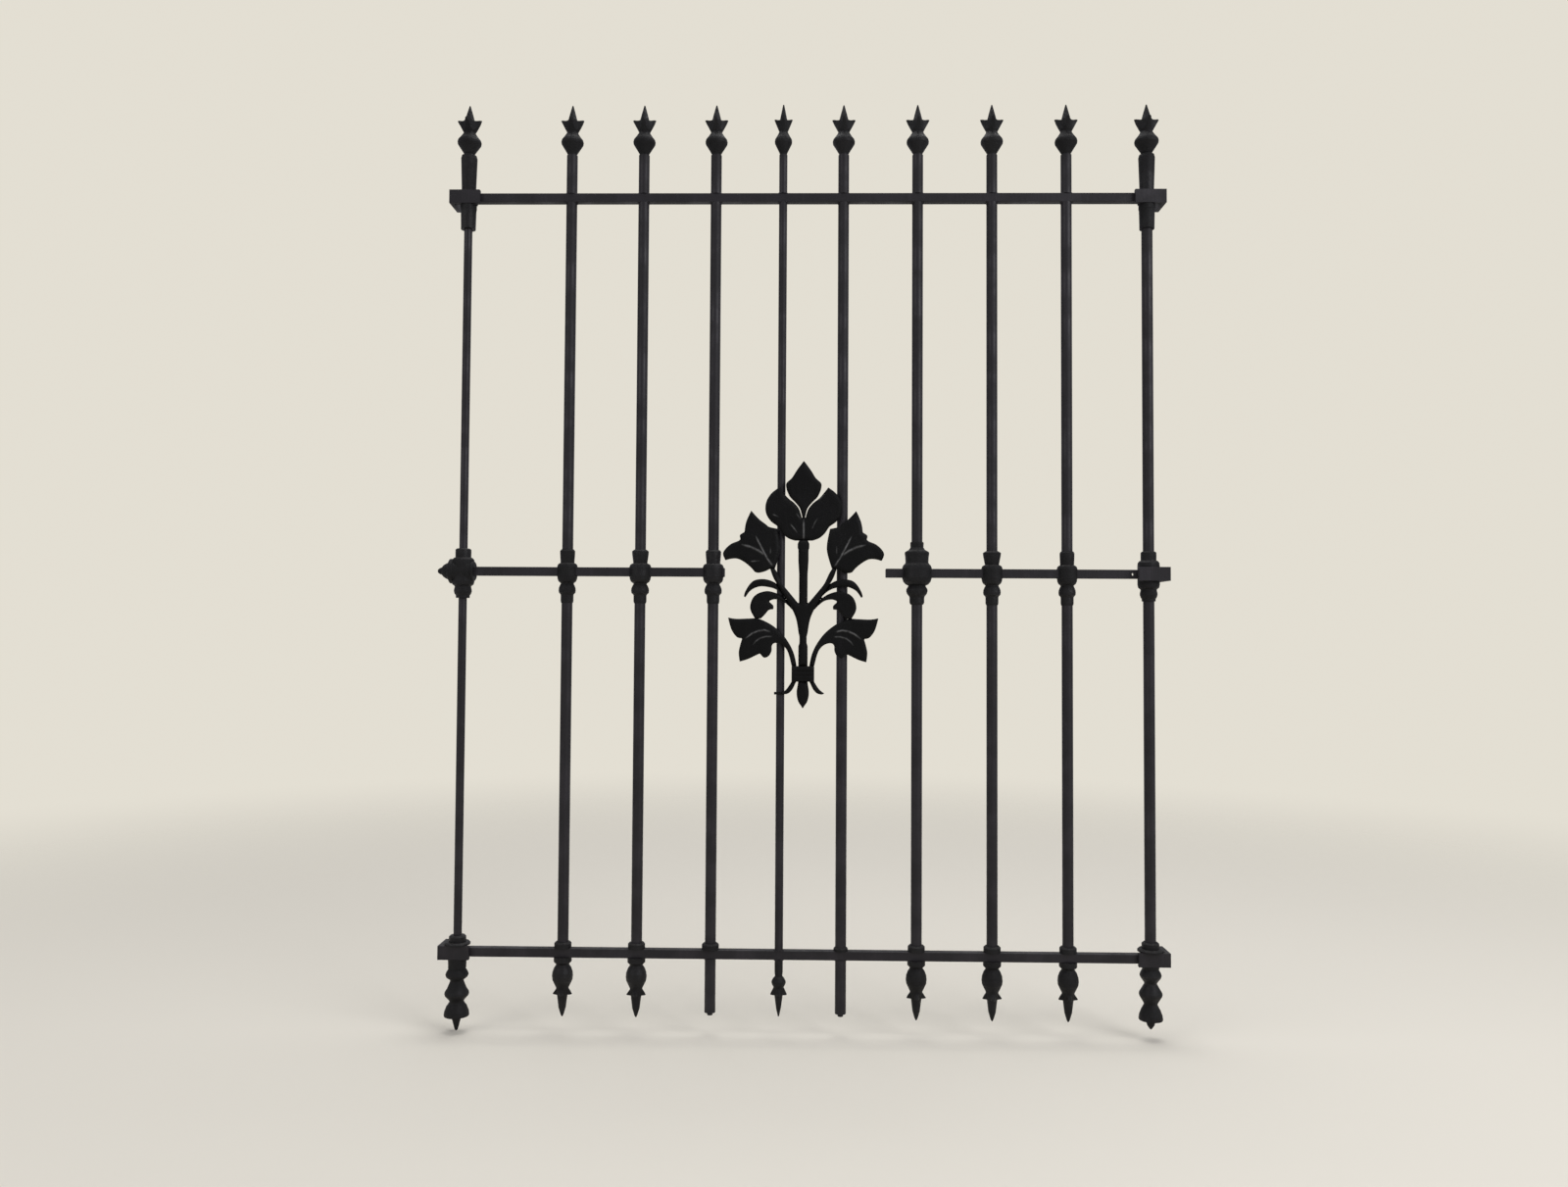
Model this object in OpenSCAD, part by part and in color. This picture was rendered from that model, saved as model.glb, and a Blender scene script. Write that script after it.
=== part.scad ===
// Wall-mounted window grille of black painted iron: ten uprights on three square
// rails, spear finials above and below, cast knuckles where the uprights cross the
// middle rail, and a cast spray of flowers and leaves in the open centre.
// X runs along the wall, Y runs into it (the wall face is y = 0) and Z is up.
// The origin is the middle of the lower left bracket's end, on the wall.

/* [Frame] */
// Height of the middle rail over the bottom rail, centre to centre
middle_rail_h = 557; // [450:1:650]
// Height of the top rail over the bottom rail, centre to centre
top_rail_h = 1115; // [950:1:1400]
// Width of the first bay, beside the left post
left_end_bay = 155; // [120:1:200]
// Width of the two bays between uprights 2 and 4
left_bay = 108; // [85:1:140]
// Width of the bay between upright 4 and the slim upright 5
centre_left_bay = 100; // [96:1:130]
// Width of the bay between uprights 5 and 6
centre_right_bay = 90; // [75:1:110]
// Width of the three bays between uprights 6 and 9
right_bay = 110; // [85:1:140]
// Width of the last bay, beside the right post
right_end_bay = 119; // [95:1:160]

/* [Bars] */
// Diameter of the round uprights
bar_d = 16; // [13:0.5:20]
// Diameter of the left post and of upright 5, which are thinner
slim_bar_d = 12; // [9:0.5:13]
// Side of the square rails
rail_s = 13; // [10:0.5:16]
// Distance from the wall to the middle of the rails
stand_off = 30; // [25:1:80]
// Height of the plain bar end over the middle of the top rail
bar_above = 65; // [45:1:90]
// Length of the left middle rail past upright 4
left_rail_over = 17; // [13:1:40]
// Length of the right middle rail past upright 7
right_rail_over = 46; // [26:1:60]
// Drop of the broken ends of uprights 4 and 6 under the middle of the bottom rail
broken_drop = 84; // [60:1:110]
// Diameter of the snapped pin left in the end of a broken upright
snapped_pin_d = 8; // [4:0.5:9]
// Length of the snapped pin
snapped_pin_l = 4; // [1:0.5:10]

/* [Wall brackets] */
// Thickness of the flat bracket strip
strip_t = 6; // [4:0.5:8]
// Height of the flat bracket strip
strip_h = 20; // [16:1:24]
// Distance from a post's middle to the outer face of its bracket
strip_reach = 26; // [24:1:40]
// Length of the strip past the post, along the rail
strip_lap = 20; // [16:1:40]
// Diameter of the hole through the right middle rail
pin_hole_d = 5; // [3:0.5:6]

/* [Finials] */
// Height of a top spear finial
spear_h = 76; // [60:1:100]
// Radius of the round bulb of a spear finial
bulb_r = 16.6; // [14:0.1:18]
// Radius to the points of the crown of a spear finial
crown_r = 17.2; // [14:0.1:19]
// Length of a bottom finial, from the rail's lower face to its tip
drop_h = 86; // [70:1:100]
// Length of the left post's turned drop, below the bracket
left_drop_h = 105; // [96:1:130]
// Length of the right post's turned drop, below the bracket
right_drop_h = 92; // [86:1:130]
// Widening of the post finials over the others
post_swell = 1.06; // [1:0.01:1.1]
// Narrowing of the finials on the slim upright
slim_shrink = 0.78; // [0.7:0.01:0.9]

/* [Castings] */
// Wall of the sleeves on the posts at the top rail, outside a common bar's radius
sleeve_wall = 4; // [2.5:0.1:6]
// Length of the sleeves below the top rail
sleeve_l = 36; // [24:1:60]
// Wall of the collars on the bottom rail
collar_wall = 4.4; // [2.5:0.1:6]
// Height of the collars above the bottom rail
collar_h = 9; // [5:0.5:14]
// Width of a knuckle's flange round the bar, at the middle rail
flange_w = 7.5; // [6.8:0.1:10]
// Width of the flange of the crowned knuckle, on upright 7
crowned_flange_w = 13.7; // [11:0.1:15]
// Gap between a casting and the bar or rail inside it
slip = 0.2; // [0.1:0.05:0.25]

/* [Ornament] */
// Thickness of the ornament's stem
stem_t = 12; // [10:0.5:20]
// Thickness of the flowers
flower_t = 10; // [7:0.5:16]
// Thickness of the leaves and tendrils
leaf_t = 8; // [5:0.5:14]
// Height of the ornament's lowest tip over the bottom rail
ornament_z = 359; // [250:1:420]
// Distance of the ornament's stem to the right of the slim upright
ornament_x = 33; // [31:1:36]
// Diameter of the pin that crosses the slim upright
fixing_pin_d = 4; // [3:0.5:6]

/* [Hidden] */
$fn = 48;

iron = [0.10, 0.095, 0.10];
cast_iron = [0.075, 0.07, 0.07];

// Bays from left to right, and the middle of each upright, counted from 1
bays = [left_end_bay, left_bay, left_bay, centre_left_bay, centre_right_bay,
        right_bay, right_bay, right_bay, right_end_bay];
post_inset = strip_reach - strip_t / 2;
function sum_to(list, count) = count == 0 ? 0 : list[count - 1] + sum_to(list, count - 1);
function upright_x(i) = post_inset + sum_to(bays, i - 1);

// The slim upright stands forward, so that its front is in line with the others
function is_slim(i) = i == 1 || i == 5;
function bar_dia(i) = is_slim(i) ? slim_bar_d : bar_d;
function bar_y(i) = -stand_off - (i == 5 ? (bar_d - slim_bar_d) / 2 : 0);
bar_r = bar_d / 2;
rail_half = rail_s / 2;
front_y = -stand_off - bar_r;

// Radius of the blunt tips, and the height of the dished flanges on the bottom rail
tip_r = 0.9;
dish_h = 4;

// Thickness of each upright's knuckle against the common pattern, and the flare of its collar
knuckle_swell = [1.12, 0.94, 1.08, 1.0, 0, 0, 0, 1.0, 0.92, 1.04];
collar_flare = [0, 0.4, 1.2, 0.6, 0, 0, 0, 2.4, 0, 0];

// ---- curves ----

// A point a share t of the way from b to c, on the smooth curve through a, b, c and d
function through(a, b, c, d, t) = 0.5 * (2 * b + (c - a) * t
    + (2 * a - 5 * b + 4 * c - d) * t * t + (3 * b - a - 3 * c + d) * t * t * t);

// Smooth stretch through pts, without its last point, which starts the next stretch
function stretch(pts, steps = 4) = [
    for (i = [0 : len(pts) - 2], k = [0 : steps - 1])
        through(pts[max(i - 1, 0)], pts[i], pts[i + 1], pts[min(i + 2, len(pts) - 1)], k / steps)
];

// Outline of smooth stretches that meet at sharp points
function outline(stretches, steps = 4) = [for (pts = stretches) each stretch(pts, steps)];

// Outline drawn down its right side, with the left side its mirror image
function both_sides(half) = concat(half, [
    for (i = [len(half) - 1 : -1 : 0]) [-half[i][0], half[i][1]]
]);

// ---- bars, rails and brackets ----

module bar_piece(i, z0, z1) {
    translate([upright_x(i), bar_y(i), z0]) cylinder(d = bar_dia(i), h = z1 - z0);
}

// Upright i: plain lengths between the rails and a short one above the top rail
module upright(i) {
    color(iron) {
        bar_piece(i, top_rail_h + rail_half, top_rail_h + bar_above);
        if (i == 5 || i == 6) {
            bar_piece(i, rail_half, top_rail_h - rail_half);
        } else {
            bar_piece(i, middle_rail_h + rail_half, top_rail_h - rail_half);
            bar_piece(i, rail_half, middle_rail_h - rail_half);
        }
        if (i == 4 || i == 6) {
            bar_piece(i, -broken_drop, -rail_half);
            translate([upright_x(i), bar_y(i), -broken_drop - snapped_pin_l])
                cylinder(d = snapped_pin_d, h = snapped_pin_l);
        }
        if (i == 1 || i == 10) bar_piece(i, -strip_clear, -rail_half);
    }
}

module rail(x0, x1, z, grow = 0) {
    side = rail_s + 2 * grow;
    translate([x0, -stand_off - side / 2, z - side / 2]) cube([x1 - x0, side, side]);
}

// Half height that a bracket's strip takes up, measured from the middle of its rail
strip_clear = strip_h / 2 + slip;
rail_x0 = strip_t / 2;
rail_x1 = upright_x(10) + post_inset - strip_t / 2;
post_cover = 9;

module top_rail() {
    color(iron) rail(rail_x0, rail_x1, top_rail_h);
}

module bottom_rail() {
    color(iron) rail(rail_x0, rail_x1, 0);
}

module left_middle_bar(grow = 0) {
    rail(upright_x(1) - post_cover - grow, upright_x(4) + left_rail_over, middle_rail_h, grow);
}

module right_middle_bar(grow = 0) {
    rail(upright_x(7) - right_rail_over, upright_x(10) + post_cover + grow, middle_rail_h, grow);
}

module middle_rail_left() {
    color(iron) left_middle_bar();
}

// The right middle rail has a small hole through it, beside the post
module middle_rail_right() {
    color(iron) difference() {
        right_middle_bar();
        translate([upright_x(10) - strip_lap - pin_hole_d / 2 - 1, -stand_off, middle_rail_h])
            rotate([90, 0, 0]) cylinder(d = pin_hole_d, h = 2 * rail_s, center = true);
    }
}

// Bracket of flat strip: a leg over the front of the post, and an arm to the wall.
// side is -1 at the left post and 1 at the right, gap is from the bar's middle
module bracket(i, side, z, gap) {
    back = -stand_off - gap;
    outer = side * strip_reach;
    color(iron) translate([upright_x(i), 0, z - strip_h / 2]) difference() {
        union() {
            translate([min(-side * strip_lap, outer), back - strip_t, 0])
                cube([strip_lap + strip_reach, strip_t, strip_h]);
            translate([min(outer, outer - side * strip_t), back - strip_t, 0])
                cube([strip_t, -back + strip_t, strip_h]);
        }
        translate([0, bar_y(i), -1]) cylinder(d = bar_dia(i) + 2 * slip, h = strip_h + 2);
    }
}

module top_left_bracket() {
    bracket(1, -1, top_rail_h, rail_half);
}

module top_right_bracket() {
    bracket(10, 1, top_rail_h, rail_half);
}

module middle_right_bracket() {
    bracket(10, 1, middle_rail_h, bar_r + flange_w * knuckle_swell[9] + slip);
}

module bottom_left_bracket() {
    bracket(1, -1, 0, rail_half);
}

module bottom_right_bracket() {
    bracket(10, 1, 0, rail_half);
}

// ---- castings on the uprights ----

module turned(pts) {
    rotate_extrude() polygon(pts);
}

// Turned casting round a bar at the middle rail. above and below are its profile as
// [thickness outside the bar, distance from the rail's face]; k scales the thickness.
module turned_casting(above, below, k) {
    turned(concat(
        [[0, rail_half + above[0][1]]],
        [for (p = above) [bar_r + p[0] * k, rail_half + p[1]]],
        [for (p = below) [bar_r + p[0] * k, -rail_half - p[1]]],
        [[0, -rail_half - below[len(below) - 1][1]]]
    ));
}

// Knuckle: collar and domed flange above the rail, bowl, urn and tail below it
module knuckle_shape(k, flare) {
    turned_casting(
        [[1.2, 26.5], [2.8 + flare, 24], [2.8 + flare * 0.8, 19.5], [2.2, 6.5], [4.5, 5.5],
         [6.4, 3.9], [flange_w, 0.5]],
        [[flange_w, 0.5], [flange_w - 0.6, 1.5], [flange_w - 0.9, 4.5], [5, 7.9], [1.8, 10.5],
         [1.6, 11.5], [3, 14], [4.4, 17.5], [4.8, 21], [4.3, 24.5], [1.8, 27], [1.4, 28.5],
         [1.4, 36.5], [0.8, 39.5]],
        k
    );
}

// The knuckles on the two posts have a deeper flange above and below the rail, and no tail
module post_knuckle_shape(k) {
    turned_casting(
        [[1.2, 27], [3, 25.5], [3.1, 21], [3, 14], [5, 13], [7, 10.5], [flange_w, 6],
         [flange_w, 0.5]],
        [[flange_w, 0.5], [flange_w, 8.5], [6.6, 13], [3.6, 15.5], [3.4, 17], [4.2, 20.5],
         [4.4, 23.5], [3.4, 27], [1.8, 29.5], [1.8, 33]],
        k
    );
}

// The knuckle on upright 7 is wider, with a long neck over a flaring crown
module crowned_knuckle_shape() {
    rim = crowned_flange_w;
    turned_casting(
        [[1.4, 39.5], [1.9, 37.5], [1.6, 31.5], [4, 28], [9.4, 25], [10.1, 23], [9.2, 17.5],
         [8.8, 9.5], [9.4, 8], [rim - 1.4, 5], [rim, 1.5]],
        [[rim, 0.5], [rim - 0.6, 2.5], [rim - 1.8, 6], [rim - 5, 9.7], [4.6, 11.7], [5.4, 13.5],
         [7.4, 16.5], [7.7, 19.5], [6.6, 23.5], [3.4, 27.5], [2.8, 29.5], [2.8, 36.5],
         [1.4, 39.5]],
        1
    );
}

// Sideways boss of the left knuckle: it runs along the rail to a stepped point
module side_boss() {
    rotate([0, -90, 0]) turned([
        [0, -17.3], [13.5, -17.3], [14.8, -16.2], [14.8, -13.4], [17, -12], [17, 12],
        [18.2, 13.5], [18.2, 18.5], [12.5, 21.5], [11.5, 24.5], [9, 28.5], [5.5, 31.5],
        [4.5, 34.5], [2.5, 37], [0, 37]
    ]);
}

module knuckle(i) {
    color(cast_iron) difference() {
        translate([upright_x(i), -stand_off, middle_rail_h]) {
            if (i == 7) crowned_knuckle_shape();
            else if (i == 1 || i == 10) post_knuckle_shape(knuckle_swell[i - 1]);
            else knuckle_shape(knuckle_swell[i - 1], collar_flare[i - 1]);
            if (i == 1) side_boss();
        }
        translate([upright_x(i), -stand_off, middle_rail_h - 60])
            cylinder(d = bar_dia(i) + 2 * slip, h = 120);
        left_middle_bar(slip);
        right_middle_bar(slip);
    }
}

module knuckle_1() { knuckle(1); }
module knuckle_2() { knuckle(2); }
module knuckle_3() { knuckle(3); }
module knuckle_4() { knuckle(4); }
module knuckle_7() { knuckle(7); }
module knuckle_8() { knuckle(8); }
module knuckle_9() { knuckle(9); }
module knuckle_10() { knuckle(10); }

// Spear finial, seated on z = 0: bulb, neck, four-pointed crown and blade
module spear(k, h) {
    blade_z = h * 0.66;
    seat_r = 0.86 * bar_r;
    turned(concat(
        [[0, 0], [seat_r * k, 0]],
        [for (p = [[seat_r, 2], [9.8, 7], [13.8, 13.5], [16.2, 17.5], [bulb_r, 20.5], [15.8, 23.5],
                   [12, 28.5], [8.8, 33.5], [8.2, 36]]) [p[0] * k, p[1] * h / 76]],
        [[7.2 * k, blade_z - 2], [7.7 * k, blade_z], [4.4 * k, h * 0.83], [tip_r, h], [0, h]]
    ));
    crown(crown_r * k, 8.4 * k, h * 0.47, h * 0.71, h * 0.665);
}

// Crown of four points: it flares from neck_r at height z0 to its points at z_point,
// and its top face falls back to the blade at z_back
module crown(r, neck_r, z0, z_point, z_back) {
    rim = 1.05 * r;
    intersection() {
        turned([[0, z0], [neck_r, z0], [rim, z_point], [neck_r * 0.8, z_back], [0, z_back]]);
        linear_extrude(z_point) crown_plan(r);
    }
}

// Plan of the crown: a square on its corner with sides drawn in
module crown_plan(r) {
    difference() {
        rotate(45) square(r * sqrt(2), center = true);
        for (a = [45 : 90 : 315]) rotate(a) translate([r * 1.35, 0]) circle(r = r * 0.8);
    }
}

module top_finial(i, k) {
    translate([upright_x(i), bar_y(i), top_rail_h + bar_above]) spear(k, spear_h);
}

module spear_finials() {
    color(cast_iron) for (i = [2, 3, 4, 6, 7, 8, 9]) top_finial(i, 1);
}

module slim_spear_finial() {
    color(cast_iron) top_finial(5, slim_shrink);
}

module post_finials() {
    color(cast_iron) for (i = [1, 10]) top_finial(i, post_swell);
}

// Bottom finial, hung from z = 0: collar, ball, neck, crown and blade
module drop(h) {
    mirror([0, 0, 1]) {
        turned(concat(
            [[0, 0], [13, 0], [13, 6.5], [9.6, 10]],
            [for (p = [[9.4, 11], [12.4, 15.5], [14.6, 21.5], [15.2, 27.5], [14.5, 33],
                       [11.4, 39.5], [9.2, 44], [8.9, 47]]) [p[0], p[1] * h / 86]],
            [[7.4, h * 0.66], [5.4, h * 0.85], [2.2, h * 0.97], [tip_r, h], [0, h]]
        ));
        crown(14, 9.1, h * 0.535, h * 0.63, h * 0.69);
    }
}

module drop_finials() {
    color(cast_iron) for (i = [2, 3, 7, 8, 9])
        translate([upright_x(i), bar_y(i), -rail_half]) drop(drop_h);
}

// The slim upright's bottom finial has a plain stalk and a small bulb
module slim_drop_finial() {
    h = drop_h - 4;
    r = slim_bar_d / 2;
    color(cast_iron) translate([upright_x(5), bar_y(5), -rail_half]) mirror([0, 0, 1]) {
        turned([
            [0, 0], [r, 0], [r, 18], [5.4, 24], [8, 27], [10.2, 31], [10.4, 33.5], [9.4, 36.5],
            [7.2, 40], [7.2, 41], [5.7, 54], [3.6, 70], [tip_r, h], [0, h]
        ]);
        crown(12, 7.5, 40.5, 51, 54.5);
    }
}

// Turned drop of a post, hung from z = 0: ring, bulge, neck, bulb, waist, bell and
// spike. z holds the depths of these down to the bell's flat face.
module post_drop(i, h, z, swell) {
    translate([upright_x(i), bar_y(i), -strip_clear]) mirror([0, 0, 1])
        turned([for (p = [
            [0, 0], [12.6, 0], [12.2, z[0] - 1], [11.6, z[0]],
            [14.6, z[1] - 3.5], [15.6, z[1]], [14.2, z[1] + 3.5], [9.2, z[2] - 1], [9.2, z[2] + 1],
            [13, z[3] - 8], [16.2, z[3] - 2.5], [16.6, z[3]], [16, z[3] + 2.5], [9.8, z[4] - 1],
            [9.8, z[4] + 1], [13.8, z[5] - 14], [16.4, z[5] - 7], [17.2, z[5] - 1.5],
            [16.8, z[5]], [7, z[5] + 1], [5.2, z[5] + 8], [2.2, h - 2], [0, h]
        ]) [p[0] * swell, p[1]]]);
}

module post_drops() {
    color(cast_iron) {
        post_drop(1, left_drop_h, [15, 23.5, 32, 51, 62, 83], 1.06);
        post_drop(10, right_drop_h, [5, 14, 25.5, 41, 55, 77.5], 1);
    }
}

// Sleeves round the posts: one above the top rail and one below it
module post_sleeves() {
    r = bar_r + sleeve_wall;
    clear = strip_clear;
    top = bar_above - slip;
    foot = clear + sleeve_l;
    color(cast_iron) for (i = [1, 10]) translate([upright_x(i), bar_y(i), top_rail_h]) {
        difference() {
            turned([[0, clear], [r - 1.6, clear], [r, top - 4], [r - 1, top], [0, top]]);
            cylinder(d = bar_dia(i) + 2 * slip, h = bar_above + 1);
        }
        mirror([0, 0, 1]) difference() {
            turned([[0, clear], [r, clear], [r, clear + 6], [r - 0.6, clear + 8],
                    [r - 1.2, foot], [0, foot]]);
            cylinder(d = bar_dia(i) + 2 * slip, h = foot + 1);
        }
    }
}

// Collars round the uprights, standing on the bottom rail
module rail_collars() {
    r = bar_r + collar_wall;
    color(cast_iron) {
        for (i = [2, 3, 4, 7, 8, 9]) collar(i, rail_half, r, collar_h);
        collar(6, rail_half, r - 2, collar_h * 0.6);
        for (i = [1, 10]) {
            collar(i, strip_clear, r * 1.5, dish_h);
            collar(i, strip_clear + dish_h + slip, r, collar_h);
        }
    }
}

module collar(i, z, r, h) {
    translate([upright_x(i), bar_y(i), z]) difference() {
        turned([[0, 0], [r, 0], [r, h - 2], [r - 2, h], [0, h]]);
        translate([0, 0, -1]) cylinder(d = bar_dia(i) + 2 * slip, h = h + 2);
    }
}

// ---- ornament ----
// Outlines are drawn in the plane of the grille: [to the right of the stem, up from the
// lowest tip]. Those of the side pieces are drawn on the right.

module plate(t) {
    translate([upright_x(5) + ornament_x, front_y, ornament_z])
        rotate([90, 0, 0]) linear_extrude(t) children();
}

module scale_x(side) {
    if (side < 0) mirror([1, 0]) children();
    else children();
}

band_z0 = 38.5;
band_z1 = 61;
band_w = 33;

module band_outline() {
    translate([-band_w / 2, band_z0]) square([band_w, band_z1 - band_z0]);
}

// Stem with its two stalks, and the bud at its foot
module stem_outline() {
    polygon(both_sides(concat(
        [[6.3, 244.8], [8.6, 240], [8.6, 234], [7.5, 231], [7.5, 215], [6.3, 195], [6.2, 152.5]],
        outline([
            [[8.5, 154.2], [20.9, 169.2], [30.4, 181.2], [37.4, 195.9], [41.9, 203.3]],
            [[41.9, 203.3], [48.6, 203]],
            [[48.6, 203], [44.8, 191.9], [39.1, 181.4], [24.7, 157.9], [18, 147.4],
             [10.4, 130.2], [6.6, 109.2]]
        ]),
        [[6.6, 109.2], [5.3, 104], [5.3, 95], [6.8, 90], [6.8, band_z1]]
    )));
    polygon(both_sides(stretch([[0.8, 0], [2.6, 3.4], [6.4, 9], [8.6, 17], [8.9, 25], [7.6, 33],
                                [6.8, band_z0], [6, band_z0]])));
}

// The top flower is three petals that join low down, with slits between them above
module flower_outline() {
    polygon(both_sides(concat(
        outline([
            [[0.5, 361.5], [10.5, 348], [17.5, 336.8], [25.5, 329], [25.4, 321], [22.6, 313.5],
             [19.2, 307.8], [12.7, 301.3], [6, 293], [3.1, 284], [1.5, 277]],
            [[1.5, 277], [2.6, 277]],
            [[2.6, 277], [4.3, 284], [7.2, 291.7], [14, 300], [23.8, 307.8], [36, 323]],
            [[36, 323], [48, 313.5], [55.4, 300], [55.4, 285], [48, 273], [38, 265.5], [31.5, 256],
             [23, 248.5], [13, 244.8]]
        ]),
        [[13, 244.8]]
    )));
}

module side_flower_outline() {
    polygon(outline([
        [[77, 288.5], [84.3, 272], [86.8, 256.8]],
        [[86.8, 256.8], [89.7, 255.3], [93.5, 252], [92.5, 246.3]],
        [[92.5, 246.3], [96.4, 243.5], [105.9, 239.6], [114.5, 232], [118, 224.4], [114.5, 215.4]],
        [[114.5, 215.4], [105.9, 217.7], [96.4, 217.7], [86.8, 212.9], [77.3, 205.3],
         [71.5, 198.6]],
        [[71.5, 198.6], [65.8, 197.2], [56.2, 199.5], [48.6, 203], [41.9, 203.3]],
        [[41.9, 203.3], [38.1, 214.8], [34.3, 230.1], [34.9, 243.5], [38.6, 262]],
        [[38.6, 262], [50.5, 264.6], [55.3, 268.3], [65.8, 276.4], [77, 288.5]]
    ]));
}

// Curled leaf: a thin crescent over a fuller leaf that rolls back on itself
module curled_leaf_outline() {
    polygon(outline([
        [[34, 178], [39.1, 181.4], [48.6, 186.2], [60.1, 188.1], [71.5, 186.2], [79.2, 179.5],
         [85.3, 169], [87, 162.4]],
        [[87, 162.4], [84.8, 161.2]],
        [[84.8, 161.2], [78.6, 170], [70.6, 175.2], [61.5, 177.4], [50.5, 176.2], [41, 173.4],
         [31.4, 166.9], [24, 157]],
        [[24, 157], [34, 178]]
    ]));
    polygon(outline([
        [[20, 153], [25.5, 158.6], [33.9, 164.9], [44.8, 169.2], [54.3, 170.4], [65.8, 167.2],
         [73.4, 160.8], [77.3, 151.2], [76.9, 141.7], [70.6, 130.2]],
        [[70.6, 130.2], [62, 130.2]],
        [[62, 130.2], [56.2, 135.9], [50.5, 142.6], [43.8, 143.9]],
        [[43.8, 143.9], [43.8, 149.3], [49.6, 155], [46.7, 157.3], [41, 158.5], [31.4, 156.5],
         [22.8, 150.2], [15, 142]],
        [[15, 142], [20, 153]]
    ]));
}

module low_leaf_outline() {
    polygon(outline([
        [[110, 131.5], [98, 129.6], [79, 130.2], [66, 130.2], [50.5, 123.6], [38.6, 115.4],
         [28.4, 105.4], [18.8, 91.4], [12.6, 77], [9.2, band_z1]],
        [[9.2, band_z1], [16.5, band_z1]],
        [[16.5, band_z1], [20.5, 77], [25, 86.5], [32.4, 92.8], [41, 94.5], [45.5, 91], [46, 83],
         [50, 75.5], [57, 73], [63, 79]],
        [[63, 79], [70.5, 75.5], [81, 70.5], [92.5, 67]],
        [[92.5, 67], [94, 80], [92, 91], [89, 101]],
        [[89, 101], [97, 103], [105, 114], [110, 131.5]]
    ]));
}

scroll_tip = [31.4, 21.3];

module scroll_outline() {
    polygon(outline([
        [[9.5, band_z0], [11.4, 34.7], [15.2, 27], [20.9, 21.3], [27.6, 19.8], scroll_tip],
        [scroll_tip, [24.6, 26.5], [19.8, 33], [16.5, band_z0]],
        [[16.5, band_z0], [9.5, band_z0]]
    ]));
}

module ornament_stem() {
    color(cast_iron) plate(stem_t) stem_outline();
}

module top_flower() {
    color(cast_iron) plate(flower_t) difference() {
        flower_outline();
        stem_outline();
    }
}

module side_flower(side) {
    color(cast_iron) plate(flower_t) difference() {
        scale_x(side) side_flower_outline();
        stem_outline();
        flower_outline();
    }
}

module left_flower() { side_flower(-1); }
module right_flower() { side_flower(1); }

module curled_leaf(side) {
    color(cast_iron) plate(leaf_t) difference() {
        scale_x(side) curled_leaf_outline();
        stem_outline();
        scale_x(side) side_flower_outline();
    }
}

module left_curled_leaf() { curled_leaf(-1); }
module right_curled_leaf() { curled_leaf(1); }

module low_leaf(side) {
    color(cast_iron) plate(leaf_t) difference() {
        scale_x(side) low_leaf_outline();
        stem_outline();
        scale_x(side) curled_leaf_outline();
        band_outline();
    }
}

module left_low_leaf() { low_leaf(-1); }
module right_low_leaf() { low_leaf(1); }

// Foot scrolls, with a pin that runs from the left one across the slim upright
module foot_scrolls() {
    color(cast_iron) {
        plate(leaf_t) for (side = [-1, 1]) scale_x(side) scroll_outline();
        translate([upright_x(5) - slim_bar_d / 2 - 3, front_y - fixing_pin_d / 2,
                   ornament_z + scroll_tip[1]])
            rotate([0, 90, 0]) cylinder(d = fixing_pin_d, h = ornament_x - 18);
    }
}

module tie_band() {
    color(cast_iron) plate(stem_t + 2) difference() {
        band_outline();
        stem_outline();
    }
}

module upright_1() { upright(1); }
module upright_2() { upright(2); }
module upright_3() { upright(3); }
module upright_4() { upright(4); }
module upright_5() { upright(5); }
module upright_6() { upright(6); }
module upright_7() { upright(7); }
module upright_8() { upright(8); }
module upright_9() { upright(9); }
module upright_10() { upright(10); }

top_rail();
middle_rail_left();
middle_rail_right();
bottom_rail();
upright_1();
upright_2();
upright_3();
upright_4();
upright_5();
upright_6();
upright_7();
upright_8();
upright_9();
upright_10();
top_left_bracket();
top_right_bracket();
middle_right_bracket();
bottom_left_bracket();
bottom_right_bracket();
knuckle_1();
knuckle_2();
knuckle_3();
knuckle_4();
knuckle_7();
knuckle_8();
knuckle_9();
knuckle_10();
spear_finials();
slim_spear_finial();
post_finials();
drop_finials();
slim_drop_finial();
post_drops();
post_sleeves();
rail_collars();
ornament_stem();
top_flower();
left_flower();
right_flower();
left_curled_leaf();
right_curled_leaf();
left_low_leaf();
right_low_leaf();
foot_scrolls();
tie_band();
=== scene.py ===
"""Looks of a wall-mounted window grille: black satin paint on rolled bar and rough castings.

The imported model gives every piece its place. This script paints the bars, rails, brackets
and castings, models the ornament's leaves and flowers in relief, lays the weld beads, and
sets up a plain studio round the grille. Lengths are in metres: X runs along the wall, Y
into it and Z up.
"""

import logging
import math
import random
from dataclasses import dataclass, field, replace
from enum import Enum

import bmesh
import bpy
import numpy as np
from mathutils import Euler, Matrix, Vector


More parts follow.
